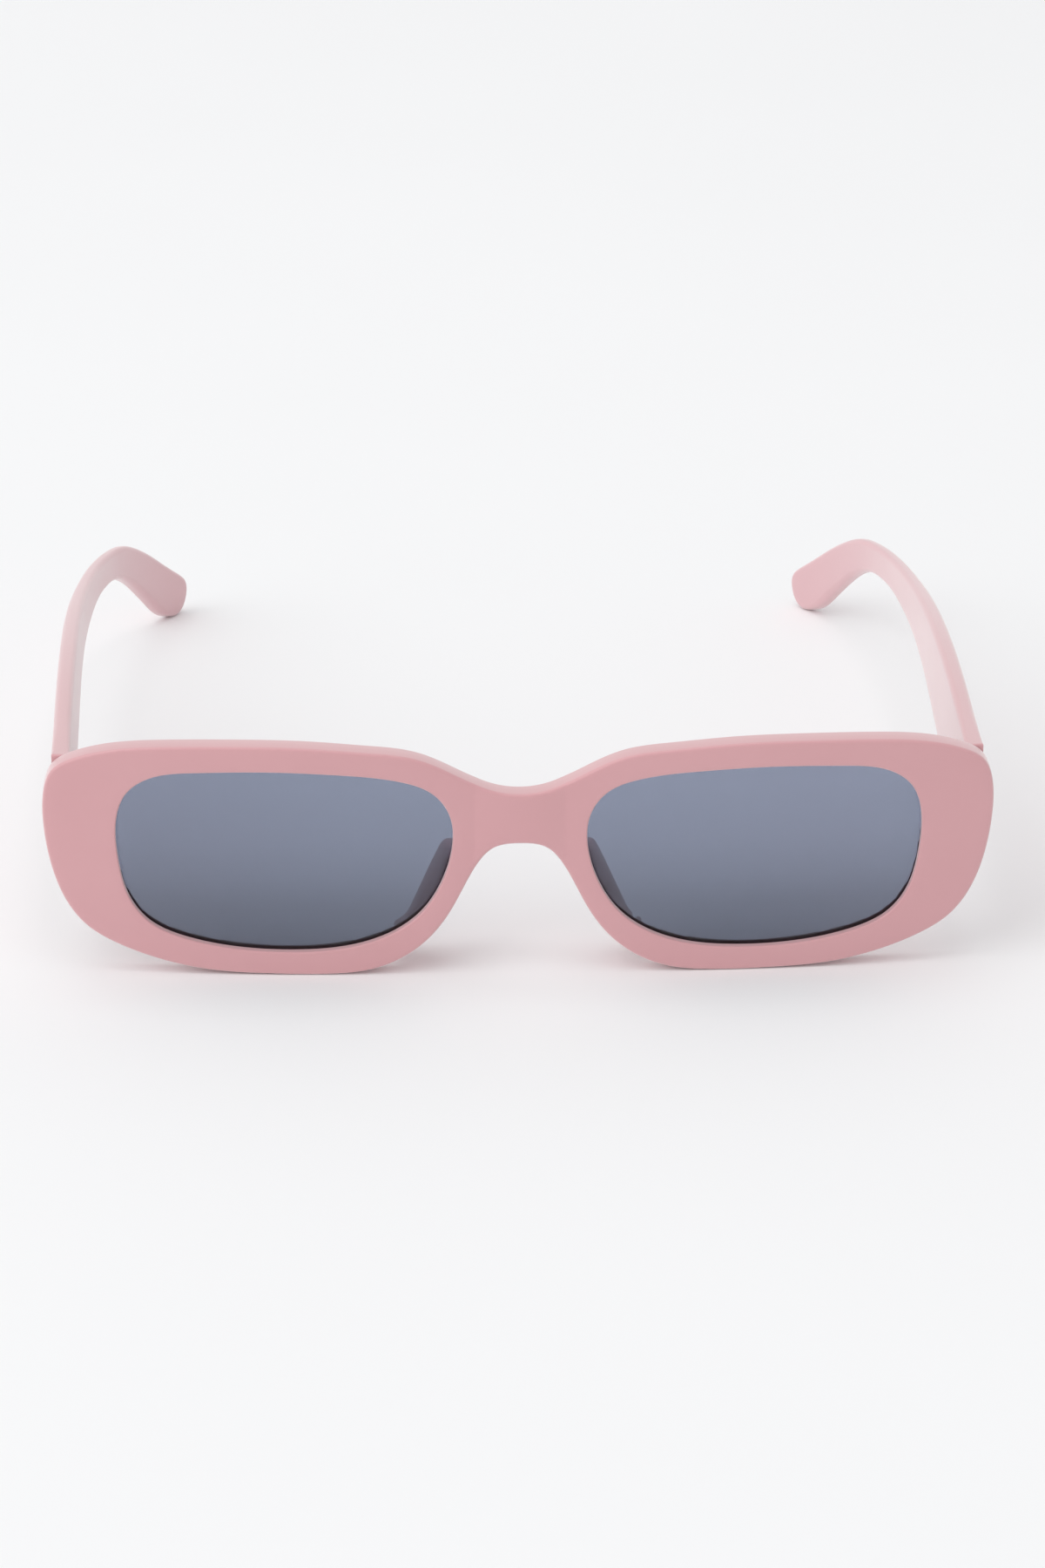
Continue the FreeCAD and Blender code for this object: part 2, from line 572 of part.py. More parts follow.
def flat_screw(name, plane_y, plane_z, along_x, shank):
    """Countersunk slotted screw. The body is turned about its own z axis and
    then laid down so that the head faces back (front leaf) or inward (temple)."""
    b = doc.addObject("PartDesign::Body", name)
    sk = new_sketch(b, name + "_half_section", "XZ_Plane")
    sr, shr, sht = size("screw_radius"), size("screw_head_radius"), size("screw_head_tall")
    polygon(sk, [(0, -shank), (sr - 0.28, -shank), (sr, -shank + 0.4), (sr, -sht), (shr, 0),
                 (0, 0)])
    revolve(b, sk, name + "_turned")
    sk = new_sketch(b, name + "_slot_plan", "XY_Plane")
    add_rectangle(sk, -3, 3, -sw / 2, sw / 2)
    add_pocket(b, sk, name + "_slot", "sizes.slot_deep")
    return b


# head faces +y: the turned z axis is laid along +y
fs = flat_screw("front_screw_upper", 0, 0, False,
                size("front_screw_long"))
fs.Placement = FreeCAD.Placement(V(0, 0, 0), FreeCAD.Rotation(V(1, 0, 0), -90))
fs.setExpression("Placement.Base.x", "sizes.hinge_x")
fs.setExpression("Placement.Base.y", "sizes.front_leaf_floor + sizes.front_leaf_thick + sizes.y_shift")
fs.setExpression("Placement.Base.z", "sizes.hinge_z + sizes.front_screw_z")
doc.recompute()
fs_low = mirrored(fs, "front_screw_lower", V(0, 0, HZ), V(0, 0, 1))
front_screws = doc.addObject("Part::Compound", "hinge_front_screws_right")
front_screws.Links = [fs, fs_low]
front_screws.Label = "hinge_front_screws_right"

# head faces -x: the turned z axis is laid along -x
ts = flat_screw("temple_screw_first_body", 0, 0, True, size("temple_screw_long"))
ts.Placement = FreeCAD.Placement(V(0, 0, 0), FreeCAD.Rotation(V(0, 1, 0), -90))
ts.setExpression("Placement.Base.x", "sizes.temple_leaf_floor - sizes.temple_leaf_thick")
ts.setExpression("Placement.Base.y", "sizes.temple_screw_first + sizes.y_shift")
ts.setExpression("Placement.Base.z", "sizes.hinge_z")
doc.recompute()
mid_y = 0.5 * (size("temple_screw_first") + size("temple_screw_second")) + size("y_shift")
ts_two = mirrored(ts, "temple_screw_second_body", V(0, mid_y, 0), V(0, 1, 0))
temple_screws = doc.addObject("Part::Compound", "hinge_temple_screws_right")
temple_screws.Links = [ts, ts_two]
temple_screws.Label = "hinge_temple_screws_right"
doc.recompute()

front_leaf = boolean("Cut", "hinge_front_leaf_right", fleaf, front_screws)
front_leaf.Label = "hinge_front_leaf_right"
temple_leaf = boolean("Cut", "hinge_temple_leaf_right", tleaf, temple_screws)
temple_leaf.Label = "hinge_temple_leaf_right"
doc.recompute()

# ---------------------------------------------------------------- temple (right)
plan = open_curve(TEMPLE_PLAN)


def plan_offset(count, front_off, tip_off):
    """Temple plan curve moved inward, by front_off at the hinge to tip_off behind."""
    first, last = plan.FirstParameter, plan.LastParameter
    length = plan.length(first, last)
    out = []
    for i in range(count):
        d = length * i / (count - 1)
        u = plan.parameterAtDistance(d, first)
        p, t = plan.value(u), plan.tangent(u)[0]
        f = min(1.0, max(0.0, (d - 50.0) / 80.0))
        off = front_off + (tip_off - front_off) * f * f * (3 - 2 * f)
        out.append((p.x - off * t.y, p.y + off * t.x))
    return out


def temple_band(front_in, tip_in, front_out, tip_out):
    """Closed plan outline between two inward offsets of the outer face."""
    a = plan_offset(34, front_in, tip_in)
    b = plan_offset(34, front_out, tip_out)
    return [open_curve(a), line(a[-1], b[-1]), open_curve(b[::-1]), line(b[0], a[0])]


def side_loop():
    whole = open_curve(TEMPLE_TOP + TEMPLE_TIP[1:] + TEMPLE_BOTTOM[1:])
    return split_up(whole, 12) + [line(TEMPLE_BOTTOM[-1], TEMPLE_TOP[0])]


def in_parts(pieces, parts):
    """Long curves of a loop split up, straight lines left alone."""
    out = []
    for p in pieces:
        out += split_up(p, parts) if isinstance(p, Part.BSplineCurve) else [p]
    return out


tf, tt = size("temple_thick_front"), size("temple_thick_tip")
tblank = new_body("temple_blank")
sk = new_sketch(tblank, "temple_plan", "XY_Plane")
add_loop(sk, temple_band(0.0, 0.0, tf, tt))
add_pad(tblank, sk, "temple_sheet", "sizes.blank_tall", both_ways=True)
sk = new_sketch(tblank, "temple_side", "YZ_Plane")
add_rectangle(sk, -20, 190, -60, 60)
add_loop(sk, side_loop())
add_pocket(tblank, sk, "temple_edge", "4 * sizes.cut_through", both_ways=True)
# mitre: the front end runs parallel to the curved back of the front
sk = new_sketch(tblank, "temple_mitre_plan", "XY_Plane")
gap = size("temple_gap")
m0, m1 = (60.0, rim_y(60.0, T) + gap), (74.0, rim_y(74.0, T) + gap)
add_loop(sk, [arc((CX, CY + R), R - T - gap, (60.0, rim_y(60.0, T + gap)), (74.0, rim_y(74.0, T + gap))),
              line((74.0, rim_y(74.0, T + gap)), (74.0, -5)), line((74.0, -5), (60.0, -5)),
              line((60.0, -5), (60.0, rim_y(60.0, T + gap)))])
add_pocket(tblank, sk, "temple_mitre", "sizes.blank_tall", both_ways=True)
doc.recompute()

# bed for the temple leaf
sk = new_sketch(tblank, "temple_leaf_bed_side", "YZ_Plane", "sizes.temple_leaf_floor")
w = size("temple_leaf_tall") / 2 + SL
a0, a1 = size("temple_leaf_front") - SL, size("temple_leaf_back") + SL
r, rr = 0.8 + SL, 2.2 + SL
pts = [(a0 + r, HZ - w), (a1 - rr, HZ - w), (a1, HZ - w + rr), (a1, HZ + w - rr), (a1 - rr, HZ + w),
       (a0 + r, HZ + w), (a0, HZ + w - r), (a0, HZ - w + r)]
add_loop(sk, [line(pts[0], pts[1]), arc((a1 - rr, HZ - w + rr), rr, pts[1], pts[2]),
              line(pts[2], pts[3]), arc((a1 - rr, HZ + w - rr), rr, pts[3], pts[4]),
              line(pts[4], pts[5]), arc((a0 + r, HZ + w - r), r, pts[5], pts[6]),
              line(pts[6], pts[7]), arc((a0 + r, HZ - w + r), r, pts[7], pts[0])])
add_pocket(tblank, sk, "temple_leaf_bed", "sizes.front_thick")

# metal strip down the middle of the temple
strip = open_curve(CORE_LINE)
ct, ch = size("core_thick"), size("core_tall")
up = sampled(strip, 26, -ch / 2)
low = sampled(strip, 26, ch / 2)
core = new_body("temple_core_right")
core.Label = "temple_core_right"
sk = new_sketch(core, "core_plan", "XY_Plane")
add_loop(sk, in_parts(temple_band((tf - ct) / 2, (tt - ct) / 2, (tf + ct) / 2, (tt + ct) / 2), 4))
add_pad(core, sk, "core_sheet", "sizes.blank_tall", both_ways=True)
sk = new_sketch(core, "core_side", "YZ_Plane")
add_rectangle(sk, -20, 190, -60, 60)
add_loop(sk, in_parts([open_curve(up), line(up[-1], low[-1]), open_curve(low[::-1]),
                       line(low[0], up[0])], 4))
add_pocket(core, sk, "core_edge", "4 * sizes.cut_through", both_ways=True)
sk = new_sketch(core, "core_mitre_plan", "XY_Plane")
add_loop(sk, [arc((CX, CY + R), R - T - gap, (60.0, rim_y(60.0, T + gap)), (74.0, rim_y(74.0, T + gap))),
              line((74.0, rim_y(74.0, T + gap)), (74.0, -5)), line((74.0, -5), (60.0, -5)),
              line((60.0, -5), (60.0, rim_y(60.0, T + gap)))])
add_pocket(core, sk, "core_mitre", "sizes.blank_tall", both_ways=True)
doc.recompute()

temple_a = boolean("Cut", "temple_with_channel", tblank, core)
temple = boolean("Cut", "temple_right", temple_a, temple_screws)
temple.Label = "temple_right"
doc.recompute()

# ---------------------------------------------------------------- nose pads
rear_zone = new_body("behind_the_rims")
sk = new_sketch(rear_zone, "rear_zone_plan", "XY_Plane")
g, p, q = face_curve(T, 40.0)
add_loop(sk, g + [line(q, (40.0, 16.0)), line((40.0, 16.0), (-40.0, 16.0)), line((-40.0, 16.0), p)])
add_pad(rear_zone, sk, "rear_zone", "sizes.blank_tall", both_ways=True)

pad_body = new_body("nose_pad_loft")
sections = []
for name, pts, depth in (("pad_root", PAD_ROOT, "-(sizes.front_thick - 1.2)"),
                         ("pad_middle", PAD_MIDDLE, "-(sizes.pad_reach * 0.68)"),
                         ("pad_rear", PAD_REAR, "-sizes.pad_reach")):
    sk = new_sketch(pad_body, name, "XZ_Plane", depth)
    add_loop(sk, [closed_curve(pts)])
    sections.append(sk)
loft = pad_body.newObject("PartDesign::AdditiveLoft", "pad_loft")
loft.Profile = sections[0]
loft.Sections = sections[1:]
for sk in sections:
    sk.Visibility = False
doc.recompute()
nose_pad = boolean("Common", "nose_pad_right", pad_body, rear_zone)
nose_pad.Label = "nose_pad_right"
doc.recompute()

# ---------------------------------------------------------------- finished front
groove_left = mirrored(slot, "lens_groove_left")
front_screws_left = mirrored(front_screws, "hinge_front_screws_left")
front_screws_left.Label = "hinge_front_screws_left"
f1 = boolean("Cut", "front_with_right_groove", blank, slot)
f2 = boolean("Cut", "front_with_grooves", f1, groove_left)
f3 = boolean("Cut", "front_with_right_screw_holes", f2, front_screws)
front = boolean("Cut", "front_frame", f3, front_screws_left)
front.Label = "front_frame"
doc.recompute()

# ---------------------------------------------------------------- left-hand pieces
nodes = [front, lens, nose_pad, temple, core, front_leaf, temple_leaf, pin, washers,
         front_screws, temple_screws, front_screws_left]
for source, name in ((lens, "lens_left"), (nose_pad, "nose_pad_left"), (temple, "temple_left"),
                     (core, "temple_core_left"), (front_leaf, "hinge_front_leaf_left"),
                     (temple_leaf, "hinge_temple_leaf_left"), (pin, "hinge_screw_left"),
                     (washers, "hinge_washers_left"),
                     (temple_screws, "hinge_temple_screws_left")):
    m = mirrored(source, name)
    m.Label = name
    nodes.append(m)
doc.recompute()

# ---------------------------------------------------------------- checks and files
for o in doc.Objects:
    if "Invalid" in o.State or "Error" in o.State:
        raise RuntimeError("%s: %s" % (o.Label, o.State))
os.makedirs("parts", exist_ok=True)
for o in nodes:
    s = o.Shape
    if s.isNull() or not s.isValid() or s.Volume <= 0:
        raise RuntimeError("%s has no valid solid" % o.Label)
    s.exportStep("parts/%s.step" % o.Label)
    b = s.BoundBox
    print("%-28s solids %d  vol %9.3f  x %8.3f %8.3f  y %8.3f %8.3f  z %7.3f %7.3f"
          % (o.Label, len(s.Solids), s.Volume, b.XMin, b.XMax, b.YMin, b.YMax, b.ZMin, b.ZMax))
print("nodes", len(nodes))
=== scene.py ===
import bpy
import bmesh
import math
import numpy as np
from mathutils import Matrix, Vector
from mathutils.geometry import delaunay_2d_cdt


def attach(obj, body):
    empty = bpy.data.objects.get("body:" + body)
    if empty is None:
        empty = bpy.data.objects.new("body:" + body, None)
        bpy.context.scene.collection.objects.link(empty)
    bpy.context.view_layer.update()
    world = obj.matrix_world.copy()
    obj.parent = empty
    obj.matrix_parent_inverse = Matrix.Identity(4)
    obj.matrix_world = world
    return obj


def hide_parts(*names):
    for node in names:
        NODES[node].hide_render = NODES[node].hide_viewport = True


# Narrow rectangle sunglasses in pale pink plastic with smoke-grey lenses.
# The shapes below are drawn in millimetres in the same front frame as the
# solids (y = 0 level with the front of the rims) and moved by YS.

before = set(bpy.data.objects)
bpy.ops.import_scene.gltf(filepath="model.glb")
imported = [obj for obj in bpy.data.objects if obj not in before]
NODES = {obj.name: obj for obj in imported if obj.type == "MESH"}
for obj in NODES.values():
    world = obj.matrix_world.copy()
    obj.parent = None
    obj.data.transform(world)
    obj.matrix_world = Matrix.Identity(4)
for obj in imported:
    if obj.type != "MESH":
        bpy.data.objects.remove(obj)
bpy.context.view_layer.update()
YS = -74.295

# ------------------------------------------------------------------ outlines
OUTER = [(0.0, 29.91), (5.04, 30.72), (10.52, 33.4), (15.48, 35.7), (23.32, 37.0),
         (32.45, 37.78), (42.47, 37.99), (53.77, 37.74), (61.45, 37.04), (67.42, 35.42),
         (70.89, 33.23), (72.25, 29.67), (72.42, 24.3), (71.35, 17.2), (69.21, 11.43),
         (66.1, 7.42), (61.9, 4.8), (54.08, 1.96), (47.63, 0.66), (38.64, 0.11),
         (33.6, 0.0), (29.09, 0.04), (23.01, 0.68), (17.87, 2.72), (13.81, 5.92),
         (10.29, 10.84), (6.45, 18.22), (3.98, 20.95), (0.0, 21.73)]
OPENING = [(61.09, 18.69), (61.24, 25.49), (59.6, 29.92), (55.9, 32.56), (49.31, 33.59),
           (38.19, 33.87), (27.69, 33.39), (18.13, 32.12), (13.35, 30.05), (10.79, 26.48),
           (10.31, 21.35), (11.98, 15.17), (15.18, 10.14), (19.87, 6.69), (26.21, 4.59),
           (34.14, 3.88), (43.27, 4.34), (51.18, 5.95), (56.49, 8.5), (59.46, 12.34)]
TEMPLE_PLAN = [(70.92, 3.0), (71.2, 15.0), (71.6, 33.0), (71.95, 51.0), (72.13, 63.0),
               (72.22, 73.0), (72.19, 82.0), (72.04, 90.0), (71.75, 97.0), (71.3, 104.0),
               (70.67, 111.0), (69.86, 117.0), (68.87, 122.0), (67.86, 126.0),
               (66.54, 130.0), (64.92, 134.0), (63.0, 138.0), (60.77, 142.0),
               (58.24, 146.0), (55.4, 150.0), (52.7, 153.5)]
TEMPLE_TOP = [(5.0, 34.4), (18.0, 33.75), (33.4, 32.95), (51.0, 31.5), (63.5, 30.0),
              (73.6, 28.55), (82.2, 27.2), (90.0, 25.9), (97.4, 24.65), (104.4, 23.5),
              (111.0, 22.5), (117.1, 21.6), (122.5, 20.85), (127.2, 20.1), (131.5, 19.1),
              (135.3, 17.2), (139.3, 14.4), (143.0, 11.2), (146.0, 8.5)]
TEMPLE_TIP = [(147.3, 7.3), (148.15, 6.3), (148.6, 5.2), (148.68, 4.15),
              (148.5, 2.95), (148.05, 1.65), (147.25, 0.55), (146.1, 0.003), (144.85, 0.3),
              (143.5, 1.0)]
TEMPLE_BOTTOM = [(142.0, 2.2), (140.0, 4.4), (138.0, 6.6), (136.0, 8.65), (134.0, 10.5),
                 (132.0, 12.05), (129.6, 13.5), (126.3, 14.75), (121.8, 15.5), (116.5, 16.0),
                 (110.4, 16.35), (103.7, 16.65), (96.6, 16.95), (89.2, 17.15),
                 (81.3, 17.25), (72.7, 17.25), (62.8, 17.05), (50.5, 16.65),
                 (33.4, 15.65), (18.0, 15.15), (5.0, 14.9)]
PAD_ROOT = [(6.9, 18.1), (8.0, 16.0), (9.4, 13.3), (11.2, 10.3), (13.6, 7.3), (16.4, 4.9),
            (18.9, 4.1), (19.3, 5.3), (17.6, 7.1), (15.3, 9.1), (13.3, 11.7), (11.7, 14.8),
            (10.6, 18.0), (9.6, 19.6), (8.2, 19.6)]
PAD_MIDDLE = [(8.3, 18.1), (9.3, 15.9), (10.6, 13.2), (12.2, 10.1), (14.3, 7.0), (16.9, 4.4),
              (19.3, 3.5), (19.9, 4.6), (18.3, 6.3), (16.4, 8.6), (14.8, 11.6), (13.2, 14.9),
              (12.0, 17.9), (10.9, 19.4), (9.5, 19.5)]
PAD_REAR = [(9.9, 17.9), (10.8, 15.9), (11.9, 13.0), (13.2, 9.9), (14.9, 6.9), (17.0, 4.4),
            (18.7, 3.6), (19.2, 4.3), (17.7, 5.9), (16.3, 8.3), (15.0, 11.5), (13.6, 14.9),
            (12.4, 17.4), (11.4, 18.8), (10.4, 19.0)]

T = 3.6                       # sheet thickness of the front
R, CX, CY = 317.0, 24.0, -0.11
BX, RISE, FIL = 6.9, 0.45, 4.0
SETBACK, LENS_T, SLACK, ENGAGE, GROOVE = 1.1, 1.8, 0.03, 0.65, 0.70


# ------------------------------------------------------------------ curves
class Cubic:
    """Cubic spline through points, by chord length; closed or with free ends."""

    def __init__(self, points, closed=False):
        p = np.array(points, float)
        if closed:
            p = np.vstack([p, p[:1]])
        self.t = np.r_[0, np.cumsum(np.linalg.norm(np.diff(p, axis=0), axis=1))]
        self.p = p
        n = len(p)
        h = np.diff(self.t)
        a = np.zeros((n, n))
        b = np.zeros((n, 2))
        for i in range(1, n - 1):
            a[i, i - 1], a[i, i], a[i, i + 1] = h[i - 1], 2 * (h[i - 1] + h[i]), h[i]
            b[i] = 6 * ((p[i + 1] - p[i]) / h[i] - (p[i] - p[i - 1]) / h[i - 1])
        if closed:
            a[0, 0], a[0, -1] = 1, -1
            a[-1, 0], a[-1, 1] = 2 * h[0], h[0]
            a[-1, -2], a[-1, -1] = h[-1], 2 * h[-1]
            b[-1] = 6 * ((p[1] - p[0]) / h[0] - (p[-1] - p[-2]) / h[-1])
        else:
            a[0, 0] = a[-1, -1] = 1
        self.m = np.linalg.solve(a, b)

    def at(self, s):
        s = np.atleast_1d(s)
        i = np.clip(np.searchsorted(self.t, s, side="right") - 1, 0, len(self.t) - 2)
        h = (self.t[i + 1] - self.t[i])[:, None]
        a = ((self.t[i + 1] - s))[:, None]
        b = ((s - self.t[i]))[:, None]
        p, m = self.p, self.m
        return (m[i] * a ** 3 + m[i + 1] * b ** 3) / (6 * h) + \
            (p[i] / h - m[i] * h / 6) * a + (p[i + 1] / h - m[i + 1] * h / 6) * b

    def dense(self, step=0.05):
        n = max(50, int(self.t[-1] / step))
        return self.at(np.linspace(0, self.t[-1], n + 1))


def spaced(line, step, closed, bend=4.0):
    """The polyline resampled: closer together where it turns more tightly."""
    p = np.array(line, float)
    if closed and np.linalg.norm(p[0] - p[-1]) > 1e-9:
        p = np.vstack([p, p[:1]])
    d = np.diff(p, axis=0)
    ln = np.linalg.norm(d, axis=1)
    keep = np.r_[True, ln > 1e-9]
    p = p[keep]
    d = np.diff(p, axis=0)
    ln = np.linalg.norm(d, axis=1)
    ang = np.unwrap(np.arctan2(d[:, 1], d[:, 0]))
    turn = np.abs(np.diff(ang))
    if closed:
        wrap = abs((ang[0] - ang[-1] + math.pi) % (2 * math.pi) - math.pi)
        k = np.r_[turn, wrap] / (0.5 * (ln + np.roll(ln, -1)))
    else:
        k = np.r_[turn, turn[-1]] / ln
    w = 1 + bend * np.minimum(k, 2.5)
    span = max(3, int(0.4 / np.median(ln)))
    w = np.convolve(np.r_[w[-span:], w, w[:span]], np.ones(span) / span, "same")[span:-span]
    c = np.r_[0, np.cumsum(ln * w)]
    n = max(12, int(round(c[-1] / step)))
    at = np.linspace(0, c[-1], n + 1)
    out = np.stack([np.interp(at, c, p[:, 0]), np.interp(at, c, p[:, 1])], 1)
    return out[:-1] if closed else out


def area(loop):
    x, y = loop[:, 0], loop[:, 1]
    return 0.5 * np.sum(x * np.roll(y, -1) - np.roll(x, -1) * y)


def ccw(loop):
    return loop if area(loop) > 0 else loop[::-1]


def normals(loop):
    """Unit normals to the left of a closed loop's direction."""
    d = np.roll(loop, -1, 0) - np.roll(loop, 1, 0)
    d /= np.linalg.norm(d, axis=1)[:, None]
    return np.stack([-d[:, 1], d[:, 0]], 1)


def inside(points, loop):
    x, y = points[:, 0][:, None], points[:, 1][:, None]
    a, b = loop, np.roll(loop, -1, 0)
    cond = (a[:, 1] > y) != (b[:, 1] > y)
    with np.errstate(divide="ignore", invalid="ignore"):
        xi = (b[:, 0] - a[:, 0]) * (y - a[:, 1]) / (b[:, 1] - a[:, 1]) + a[:, 0]
    return (np.sum(cond & (x < xi), axis=1) % 2) == 1


# ------------------------------------------------------------------ front-face plan curve
_RB = BX ** 2 / (2 * RISE)


def rim_y(x, back=0.0):
    r = R - back
    return CY + R - np.sqrt(r * r - (np.abs(x) - CX) ** 2)


_BY = float(rim_y(BX)) - RISE + _RB


def face_y(x, back=0.0):
    """Front face moved back: rim arcs, bridge arc and the small hollows between."""
    x = np.abs(np.asarray(x, float))
    c0, c1 = (CX, CY + R), (0.0, _BY)
    r0, r1 = R + FIL, _RB + FIL
    dx, dy = c1[0] - c0[0], c1[1] - c0[1]
    d = math.hypot(dx, dy)
    al = (d * d + r0 * r0 - r1 * r1) / (2 * d)
    side = math.sqrt(r0 * r0 - al * al)
    best = None
    for sg in (1, -1):
        k = (c0[0] + al * dx / d - sg * side * dy / d, c0[1] + al * dy / d + sg * side * dx / d)
        if best is None or abs(k[0] - BX) + abs(k[1] + FIL) < abs(best[0] - BX) + abs(best[1] + FIL):
            best = k
    k = best
    xr = c0[0] + (k[0] - c0[0]) * (R - back) / r0
    xb = k[0] * (_RB - back) / r1
    bridge = _BY - np.sqrt(np.maximum((_RB - back) ** 2 - x ** 2, 1e-6))
    hollow = k[1] + np.sqrt(np.maximum((FIL + back) ** 2 - (x - k[0]) ** 2, 1e-6))
    return np.where(x < xb, bridge, np.where(x < xr, hollow, rim_y(x, back)))


# ------------------------------------------------------------------ mesh building
def fill(verts2, rings, holes, grid, margin, cols=()):
    """Triangles that fill the outer ring less the hole rings, with grid points
    inside. Returns new 2-D points and triangles of indices: negative numbers
    -1, -2 ... stand for the new points."""
    outer = verts2[rings]
    lo, hi = outer.min(0), outer.max(0)
    us = np.arange(lo[0] + grid * 0.37, hi[0], grid)
    vs = np.arange(lo[1] + grid * 0.41, hi[1], grid * 0.87)
    pts = np.array([(u + (0.5 * grid if j % 2 else 0), v) for j, v in enumerate(vs) for u in us])
    for lo_c, hi_c, step in cols:
        extra = [(u, v) for u in np.arange(lo_c, hi_c, step) for v in np.arange(lo[1], hi[1], grid * 0.7)]
        if extra:
            pts = np.vstack([pts[(pts[:, 0] < lo_c - step) | (pts[:, 0] > hi_c + step)], extra])
    ok = inside(pts, outer)
    for h in holes:
        ok &= ~inside(pts, verts2[h])
    pts = pts[ok]
    edge = np.vstack([outer] + [verts2[h] for h in holes])
    keep = np.ones(len(pts), bool)
    for a in range(0, len(pts), 400):
        d = pts[a:a + 400, None, :] - edge[None]
        keep[a:a + 400] = np.sqrt((d ** 2).sum(2)).min(1) > margin
    pts = pts[keep]
    ids = list(rings)
    con = [(i, (i + 1) % len(rings)) for i in range(len(rings))]
    for h in holes:
        b = len(ids)
        ids += list(h)
        con += [(b + i, b + (i + 1) % len(h)) for i in range(len(h))]
    n_edge = len(ids)
    cand = [Vector((float(verts2[i][0]), float(verts2[i][1]))) for i in ids] + \
           [Vector((float(p[0]), float(p[1]))) for p in pts]
    vo, _, fo, orig, _, _ = delaunay_2d_cdt(cand, con, [], 0, 1e-9)
    name = []
    for o in orig:
        j = o[0] if o else 0
        name.append(ids[j] if j < n_edge else -(j - n_edge) - 1)
    cen = np.array([[(vo[a][0] + vo[b][0] + vo[c][0]) / 3, (vo[a][1] + vo[b][1] + vo[c][1]) / 3]
                    for a, b, c in fo])
    good = inside(cen, outer)
    for h in holes:
        good &= ~inside(cen, verts2[h])
    tris = [tuple(name[i] for i in f) for f, g in zip(fo, good) if g]
    return pts, tris


def plate(name, outer, holes, front, back, to3d, r0, r1, grid=1.5, wall=None, pockets=(),
          steps=5, cols=()):
    """A sheet with rounded edges. outer and holes are 2-D loops, front and back
    give the depth of its two faces, and wall lists extra (inset, depth) rings
    down the sides of the holes, measured from the front face."""
    v2, w = [], []
    faces = []

    def ring(loop, depth):
        a = sum(len(x) for x in v2)
        v2.append(loop)
        w.append(np.broadcast_to(depth, len(loop)).astype(float).copy())
        return np.arange(a, a + len(loop))

    def strip(a, b):
        n = len(a)
        for i in range(n):
            faces.append((a[i], a[(i + 1) % n], b[(i + 1) % n], b[i]))

    front_rings, back_rings, shaded_wall_ranges = [], [], []
    for k, loop in enumerate([outer] + list(holes)):
        loop = ccw(loop)
        n = normals(loop) * (1 if k == 0 else -1)
        ra = np.broadcast_to(r0 if not isinstance(r0, (tuple, list)) else r0[min(k, 1)], len(loop))
        rb = np.broadcast_to(r1 if not isinstance(r1, (tuple, list)) else r1[min(k, 1)], len(loop))
        rings = []
        for s in range(steps + 1):
            f = s / steps * math.pi / 2
            q = loop + n * (ra * (1 - math.sin(f)))[:, None]
            rings.append(ring(q, front(q) + ra * (1 - math.cos(f))))
        if k and wall:
            for off, dep in wall:
                q = loop + n * off
                rings.append(ring(q, front(q) + dep))
        for s in range(steps, -1, -1):
            f = s / steps * math.pi / 2
            q = loop + n * (rb * (1 - math.sin(f)))[:, None]
            rings.append(ring(q, back(q) - rb * (1 - math.cos(f))))
        for j, (a, b) in enumerate(zip(rings, rings[1:])):
            # the groove and rear lip faces behind the lens go to slot 1, which holds painted shade for the shadow in
            # the groove
            if k and wall and steps < j <= steps + len(wall):
                shaded_wall_ranges.append((len(faces), len(faces) + len(a)))
            strip(a, b)
        front_rings.append(rings[0])
        back_rings.append(rings[-1])
    pocket_rings = []
    for loop, floor in pockets:
        loop = ccw(loop)
        a = ring(loop, back(loop))
        b = ring(loop, floor(loop))
        strip(a, b)
        pocket_rings.append((a, b, floor))
    all2 = np.vstack(v2)

    def cover(rings, hole_rings, depth):
        nonlocal all2
        pts, tris = fill(all2, rings, hole_rings, grid, 0.55 * grid, cols)
        base = len(all2)
        if len(pts):
            all2 = np.vstack([all2, pts])
            w.append(depth(pts))
        for t in tris:
            faces.append(tuple(i if i >= 0 else base - i - 1 for i in t))

    cover(front_rings[0], front_rings[1:], front)
    cover(back_rings[0], back_rings[1:] + [a for a, _, _ in pocket_rings], back)
    for _, b, floor in pocket_rings:
        cover(b, [], floor)
    co = to3d(all2, np.concatenate(w))
    return make(name, co, faces, shaded_wall_ranges)


def make(name, co_mm, faces, shaded_wall_ranges=(), sharp=math.radians(38)):
    """Mesh object from millimetre points; faces in the given wall ranges get slot 1, the material with the painted
    shade of the lens groove.
    """
    me = bpy.data.meshes.new(name)
    me.from_pydata([tuple(c * 0.001 for c in p) for p in co_mm], [], [tuple(int(i) for i in f) for f in faces])
    for a, b in shaded_wall_ranges:
        for i in range(a, b):
            me.polygons[i].material_index = 1
    bm = bmesh.new()
    bm.from_mesh(me)
    bmesh.ops.remove_doubles(bm, verts=bm.verts, dist=1e-8)
    loose = [v for v in bm.verts if not v.link_faces]
    bmesh.ops.delete(bm, geom=loose, context="VERTS")
    bmesh.ops.recalc_face_normals(bm, faces=bm.faces)
    for f in bm.faces:
        f.smooth = True
    for e in bm.edges:
        if len(e.link_faces) == 2 and e.calc_face_angle(0) > sharp:
            e.smooth = False
    bm.to_mesh(me)
    bm.free()
    me.update()
    o = bpy.data.objects.new(name, me)
    bpy.context.scene.collection.objects.link(o)
    return o


# ------------------------------------------------------------------ the front
def half_outline():
    pts = [(-x, z) for x, z in OUTER[2:0:-1]] + OUTER + [(-x, z) for x, z in OUTER[-2:-4:-1]]
    c = Cubic(pts)
    a = c.t[2]
    b = c.t[2 + len(OUTER) - 1]
    return c.at(np.linspace(a, b, 4000))


